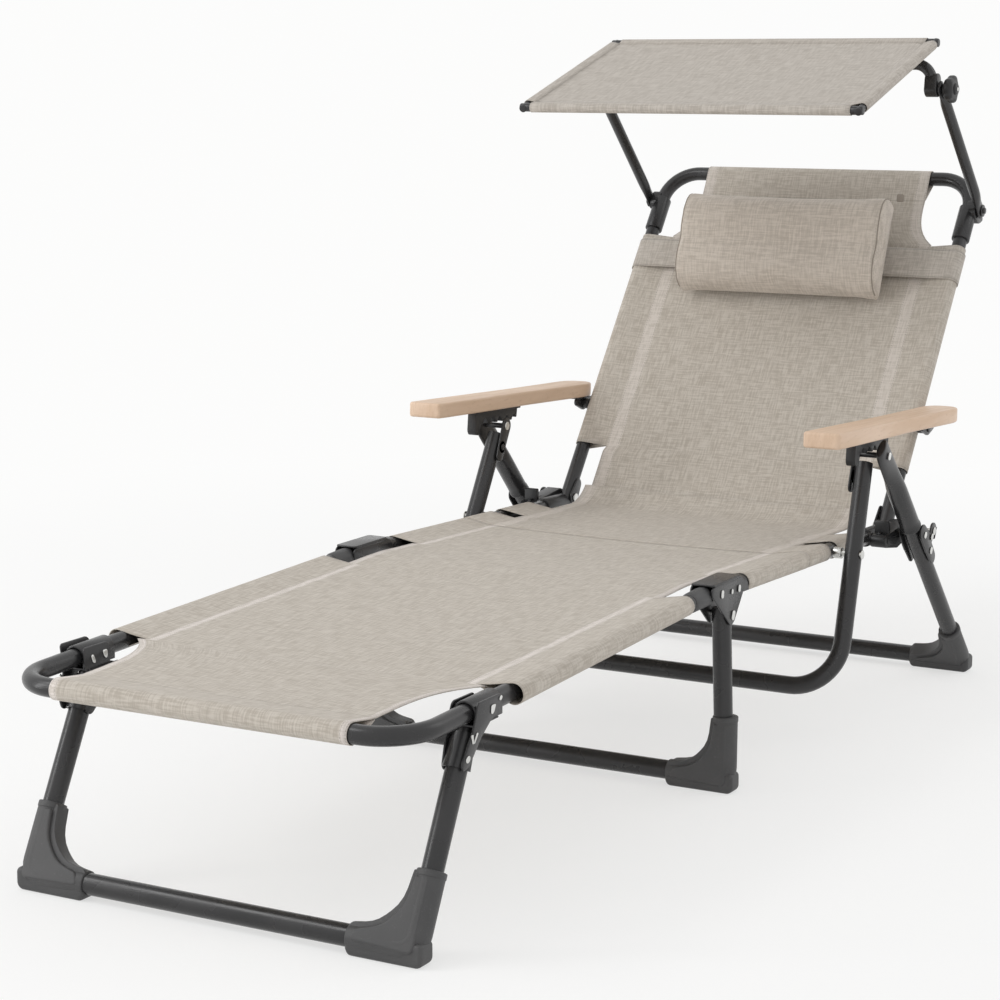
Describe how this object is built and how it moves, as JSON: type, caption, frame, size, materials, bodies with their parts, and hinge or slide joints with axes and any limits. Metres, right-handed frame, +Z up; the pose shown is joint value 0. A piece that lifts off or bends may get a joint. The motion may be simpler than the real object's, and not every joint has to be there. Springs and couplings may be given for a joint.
{
  "type": "sun lounger with canopy",
  "caption": "Folding reclining sun lounger with sling bed, wooden armrests, bolster headrest and a tilting sun canopy on swing arms.",
  "frame": {"origin": "centre of the footprint at floor level", "axes": "+Z up, +Y from the foot end to the head end, +X to the sitter's left"},
  "size_m": [0.6942, 1.766, 0.9781],
  "materials": {
    "coated_steel": "satin charcoal powder coat",
    "zinc": "bright zinc plate",
    "boot_plastic": "dark grey moulded plastic",
    "hinge_plastic": "black moulded plastic",
    "beech": "pale oiled beech",
    "sling_mesh": "woven coated mesh",
    "pillow_fabric": "slubbed linen look"
  },
  "bodies": {
    "seat_frame": {"seat_rail_left": "coated_steel", "seat_rail_right": "coated_steel", "middle_bracket_left": "coated_steel", "middle_bracket_right": "coated_steel", "rail_knuckle_left": "hinge_plastic", "rail_knuckle_right": "hinge_plastic", "foot_hinge_rivet_left": "zinc", "foot_hinge_rivet_right": "zinc", "middle_leg_rivet_left": "zinc", "middle_leg_rivet_right": "zinc", "rail_crossing_rivet_left": "zinc", "rail_crossing_rivet_right": "zinc", "seat_sling": "sling_mesh"},
    "foot_section": {"foot_loop_tube": "coated_steel", "front_bracket_left": "coated_steel", "front_bracket_right": "coated_steel", "front_leg_rivet_left": "zinc", "front_leg_rivet_right": "zinc", "foot_sling": "sling_mesh"},
    "front_legs": {"front_leg_frame": "coated_steel", "front_boot_left": "boot_plastic", "front_boot_right": "boot_plastic"},
    "middle_legs": {"middle_leg_frame": "coated_steel", "middle_boot_left": "boot_plastic", "middle_boot_right": "boot_plastic"},
    "arm_support": {"arm_support_frame": "coated_steel", "arm_support_plate_left": "coated_steel", "arm_support_plate_right": "coated_steel", "apex_rivet_left": "zinc", "apex_rivet_right": "zinc"},
    "rear_legs": {"rear_leg_frame": "coated_steel", "rear_boot_left": "boot_plastic", "rear_boot_right": "boot_plastic", "rear_leg_sleeve_left": "coated_steel", "rear_leg_sleeve_right": "coated_steel", "rear_link_left": "coated_steel", "rear_link_right": "coated_steel"},
    "backrest": {"backrest_frame": "coated_steel", "backrest_foot_plate_left": "coated_steel", "backrest_foot_plate_right": "coated_steel", "backrest_hinge_pin_left": "zinc", "backrest_hinge_pin_right": "zinc", "canopy_pivot_bracket_left": "coated_steel", "canopy_pivot_bracket_right": "coated_steel", "back_sling": "sling_mesh"},
    "headrest": {"headrest_strap": "sling_mesh", "headrest_pillow": "pillow_fabric"},
    "armrest_left_body": {"armrest_left": "beech", "armrest_rack_left": "coated_steel", "armrest_hinge_left": "coated_steel"},
    "armrest_right_body": {"armrest_right": "beech", "armrest_rack_right": "coated_steel", "armrest_hinge_right": "coated_steel"},
    "canopy_arm_left_body": {"canopy_arm_left": "coated_steel"},
    "canopy_arm_right_body": {"canopy_arm_right": "coated_steel"},
    "canopy": {"canopy_yoke": "coated_steel", "canopy_rim": "coated_steel", "canopy_cloth": "sling_mesh"},
    "canopy_knob_left_body": {"canopy_knob_left": "hinge_plastic"},
    "canopy_knob_right_body": {"canopy_knob_right": "hinge_plastic"}
  },
  "joints": [
    {"name": "foot_section_fold", "type": "hinge", "parent": "seat_frame", "child": "foot_section", "pos_m": [0, -0.1346, 0.26813], "axis": [1, 0, 0], "range_deg": [0, 85]},
    {"name": "front_legs_fold", "type": "hinge", "parent": "foot_section", "child": "front_legs", "pos_m": [0, -0.7396, 0.22423], "axis": [1, 0, 0], "range_deg": [0, 105]},
    {"name": "middle_legs_fold", "type": "hinge", "parent": "seat_frame", "child": "middle_legs", "pos_m": [0, -0.0996, 0.23397], "axis": [1, 0, 0], "range_deg": [0, 65]},
    {"name": "rear_stand_fold", "type": "hinge", "parent": "seat_frame", "child": "arm_support", "pos_m": [0, 0.2609, 0.25501], "axis": [1, 0, 0], "range_deg": [-48, 0]},
    {"name": "rear_legs_close", "type": "hinge", "parent": "arm_support", "child": "rear_legs", "pos_m": [0, 0.3239, 0.38751], "axis": [1, 0, 0], "range_deg": [-45.5, 0.5]},
    {"name": "backrest_recline", "type": "hinge", "parent": "seat_frame", "child": "backrest", "pos_m": [0, 0.4914, 0.25366], "axis": [1, 0, 0], "range_deg": [-28, 0]},
    {"name": "armrest_left_tilt", "type": "hinge", "parent": "backrest", "child": "armrest_left_body", "pos_m": [0, 0.59485, 0.39045], "axis": [1, 0, 0], "range_deg": [-0.5, 17.58]},
    {"name": "armrest_right_tilt", "type": "hinge", "parent": "backrest", "child": "armrest_right_body", "pos_m": [0, 0.59485, 0.39045], "axis": [1, 0, 0], "range_deg": [-0.5, 17.58]},
    {"name": "headrest_slide", "type": "slide", "parent": "backrest", "child": "headrest", "axis": [0, 0.6032, 0.7976], "range_m": [-0.12, 0.024]},
    {"name": "canopy_swing_left", "type": "hinge", "parent": "backrest", "child": "canopy_arm_left_body", "pos_m": [0, 0.83462, 0.70749], "axis": [1, 0, 0], "range_deg": [-80, 12]},
    {"name": "canopy_swing_right", "type": "hinge", "parent": "backrest", "child": "canopy_arm_right_body", "pos_m": [0, 0.83462, 0.70749], "axis": [1, 0, 0], "range_deg": [-80, 12]},
    {"name": "canopy_tilt", "type": "hinge", "parent": "canopy_arm_left_body", "child": "canopy", "pos_m": [0, 0.63642, 0.89956], "axis": [1, 0, 0], "range_deg": [-45, 45]},
    {"name": "canopy_knob_left_turn", "type": "hinge", "parent": "canopy_arm_left_body", "child": "canopy_knob_left_body", "pos_m": [0.302, 0.63642, 0.89956], "axis": [1, 0, 0], "range_deg": [0, 180]},
    {"name": "canopy_knob_right_turn", "type": "hinge", "parent": "canopy_arm_right_body", "child": "canopy_knob_right_body", "pos_m": [-0.302, 0.63642, 0.89956], "axis": [1, 0, 0], "range_deg": [-180, 0]}
  ],
  "couplings": [
    {"joint": "rear_legs_close", "follows": "rear_stand_fold", "ratio": 0.9375},
    {"joint": "armrest_left_tilt", "follows": "backrest_recline", "ratio": -0.61},
    {"joint": "armrest_right_tilt", "follows": "backrest_recline", "ratio": -0.61},
    {"joint": "canopy_swing_right", "follows": "canopy_swing_left", "ratio": 1}
  ]
}
